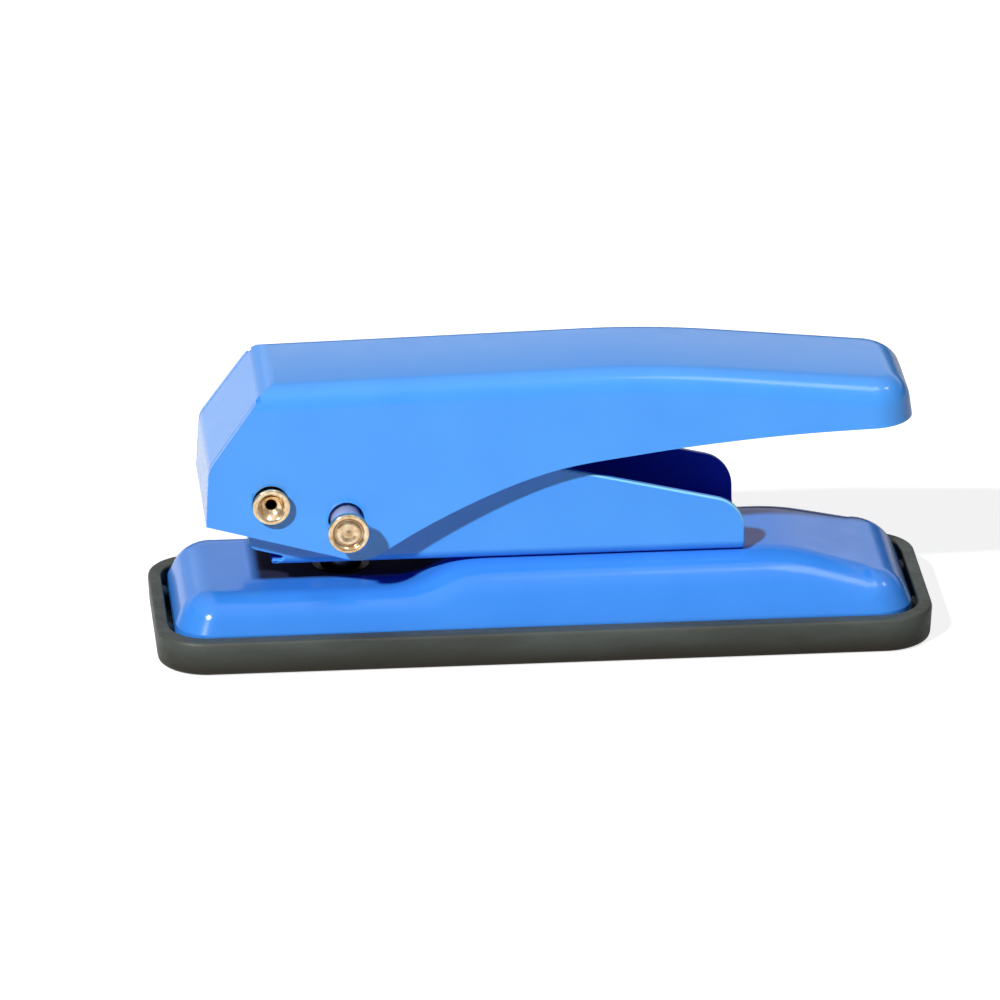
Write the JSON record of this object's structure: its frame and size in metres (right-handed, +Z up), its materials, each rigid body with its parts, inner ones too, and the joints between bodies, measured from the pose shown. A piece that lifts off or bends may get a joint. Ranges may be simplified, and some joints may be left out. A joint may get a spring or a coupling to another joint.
{
  "type": "single hole punch",
  "caption": "Palm-size sheet-metal hole punch with a pressed base on a plastic chip tray, a spring-raised folded handle and one round punch.",
  "frame": {"origin": "middle of the chip tray's flat underside", "axes": "+Z up from the table, +X from the paper mouth towards the free end of the handle, +Y across, away from the flared end of the pivot axle"},
  "size_m": [0.1098, 0.0342, 0.0411],
  "materials": {
    "tray_plastic": "dark grey plastic with a soft sheen",
    "blue_paint": "glossy medium blue stoved paint",
    "nickel_rivet": "bright nickel plate, slightly worn",
    "ground_steel": "ground tool steel",
    "black_steel": "black oxide",
    "spring_wire": "drawn spring wire"
  },
  "bodies": {
    "base": {"base_plate": "blue_paint", "bridge_frame": "blue_paint", "frame_rivets": "nickel_rivet", "die_bush": "ground_steel", "guide_bush": "ground_steel", "pivot_axle": "nickel_rivet", "axle_sleeve": "ground_steel", "pivot_washers": "black_steel", "return_spring": "spring_wire"},
    "lever": {"lever_handle": "blue_paint", "drive_pin": "nickel_rivet"},
    "plunger": {"punch": "ground_steel"},
    "tray": {"chip_tray": "tray_plastic"}
  },
  "joints": [
    {"name": "lever_press", "type": "hinge", "parent": "base", "child": "lever", "pos_m": [-0.03865, 0, 0.02365], "axis": [0, 1, 0], "range_deg": [0, 11], "stiffness_Nm_per_rad": 0.3, "springref_deg": -34.38, "deforming": ["return_spring"]},
    {"name": "punch_slide", "type": "slide", "parent": "base", "child": "plunger", "axis": [0, 0, -1], "range_m": [0, 0.00197]},
    {"name": "tray_pull", "type": "slide", "parent": "base", "child": "tray", "axis": [0, 0, -1], "range_m": [0, 0.025]}
  ],
  "couplings": [
    {"joint": "punch_slide", "follows": "lever_press", "m_per_rad": 0.010193}
  ]
}
